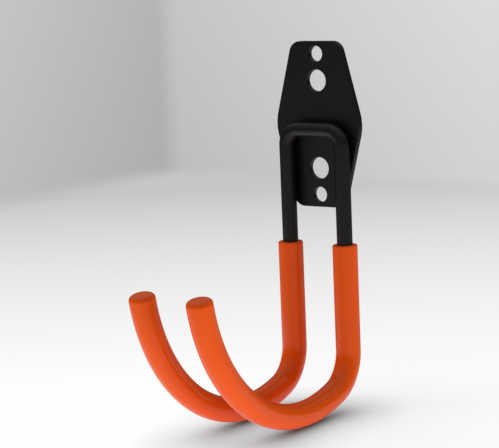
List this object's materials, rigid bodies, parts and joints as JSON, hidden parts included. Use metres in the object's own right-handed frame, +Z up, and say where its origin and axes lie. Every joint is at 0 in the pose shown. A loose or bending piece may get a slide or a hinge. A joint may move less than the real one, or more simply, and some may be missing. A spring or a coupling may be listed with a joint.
{
  "type": "bike hook",
  "caption": "Wall hook for hanging bikes: a flat black steel plate with fixing holes, a bent rod that makes a pair of J-shaped arms, and orange sleeves on the arms.",
  "frame": {"origin": "centre of the wall plate's back face, which lies on the wall", "axes": "+X across the hook, its plane of symmetry is X = 0; +Y into the wall, so the arms reach out along -Y; +Z up"},
  "size_m": [0.062, 0.1739, 0.2339],
  "materials": {
    "plate_coating": "satin black powder coat on steel",
    "rod_coating": "satin black powder coat on steel",
    "sleeve_vinyl": "smooth orange soft vinyl with a low gloss"
  },
  "bodies": {
    "root": {"wall_plate": "plate_coating", "hook_rod": "rod_coating", "weld_bead": "rod_coating", "right_sleeve": "sleeve_vinyl", "left_sleeve": "sleeve_vinyl"}
  },
  "joints": []
}
